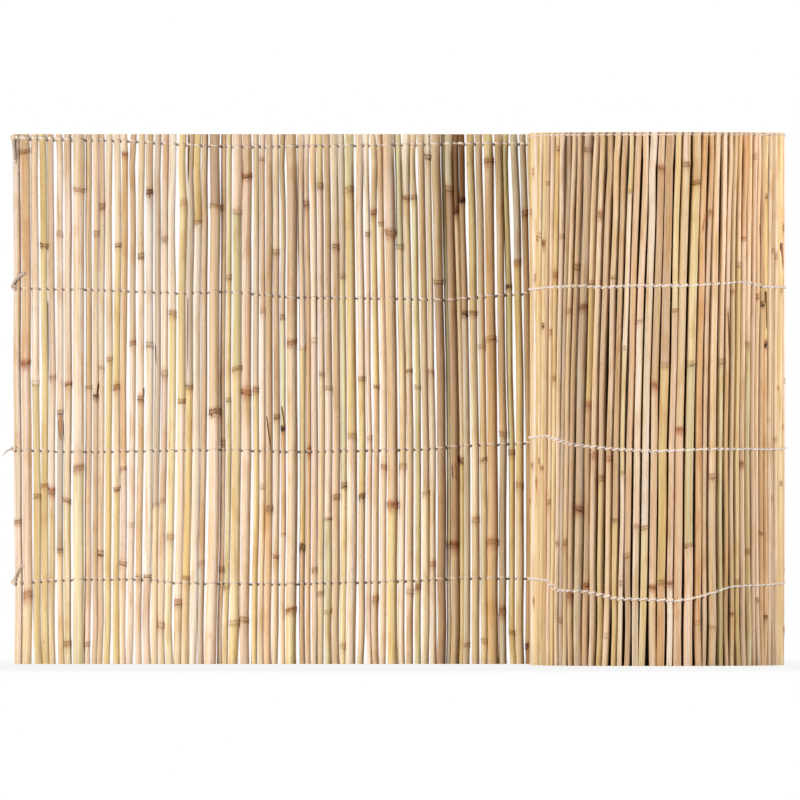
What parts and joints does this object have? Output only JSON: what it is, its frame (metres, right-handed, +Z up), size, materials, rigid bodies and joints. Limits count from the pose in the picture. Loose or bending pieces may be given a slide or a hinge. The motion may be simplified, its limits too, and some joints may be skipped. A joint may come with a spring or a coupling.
{
  "type": "bamboo fence panel",
  "caption": "Screen of thin bamboo canes bound side by side by rows of twine, partly rolled out and standing on its sawn ends, with the rest of the mat still in a roll.",
  "frame": {"origin": "on the ground under the canes' sawn ends, at the middle of the panel's bounding box", "axes": "+X along the panel from its free edge to the roll, +Y to the back of the panel, +Z up the canes"},
  "size_m": [0.7435, 0.248, 0.5],
  "materials": {
    "cane": "satin",
    "twine": "matte"
  },
  "bodies": {
    "root": {"canes_01_02": "cane", "canes_03_04": "cane", "canes_05_06": "cane", "canes_07_08": "cane", "canes_09_10": "cane", "canes_11_12": "cane", "canes_13_14": "cane", "canes_15_16": "cane", "canes_17_18": "cane", "canes_19_20": "cane", "canes_21_22": "cane", "canes_23_24": "cane", "canes_25_26": "cane", "canes_27_28": "cane", "canes_29_30": "cane", "canes_31_32": "cane", "canes_33_34": "cane", "canes_35_36": "cane", "canes_37_38": "cane", "canes_39_40": "cane", "canes_41_42": "cane", "canes_43_44": "cane", "canes_45_46": "cane", "canes_47_48": "cane", "canes_49_50": "cane", "canes_51_52": "cane", "canes_53_54": "cane", "canes_55_56": "cane", "canes_57_58": "cane", "canes_59_60": "cane", "canes_61_62": "cane", "canes_63_64": "cane", "canes_65_66": "cane", "canes_67_68": "cane", "canes_69_70": "cane", "canes_71_72": "cane", "canes_73_74": "cane", "canes_75_76": "cane", "canes_77_78": "cane", "canes_79_80": "cane", "rolled_mat": "cane", "front_strand_row_1": "twine", "front_strand_row_2": "twine", "front_strand_row_3": "twine", "front_strand_row_4": "twine", "back_strand_row_1": "twine", "back_strand_row_2": "twine", "back_strand_row_3": "twine", "back_strand_row_4": "twine", "roll_twine_row_1": "twine", "roll_twine_row_2": "twine", "roll_twine_row_3": "twine", "roll_twine_row_4": "twine", "end_knot_row_1": "twine", "end_knot_row_2": "twine", "end_knot_row_3": "twine", "end_knot_row_4": "twine"}
  },
  "joints": []
}
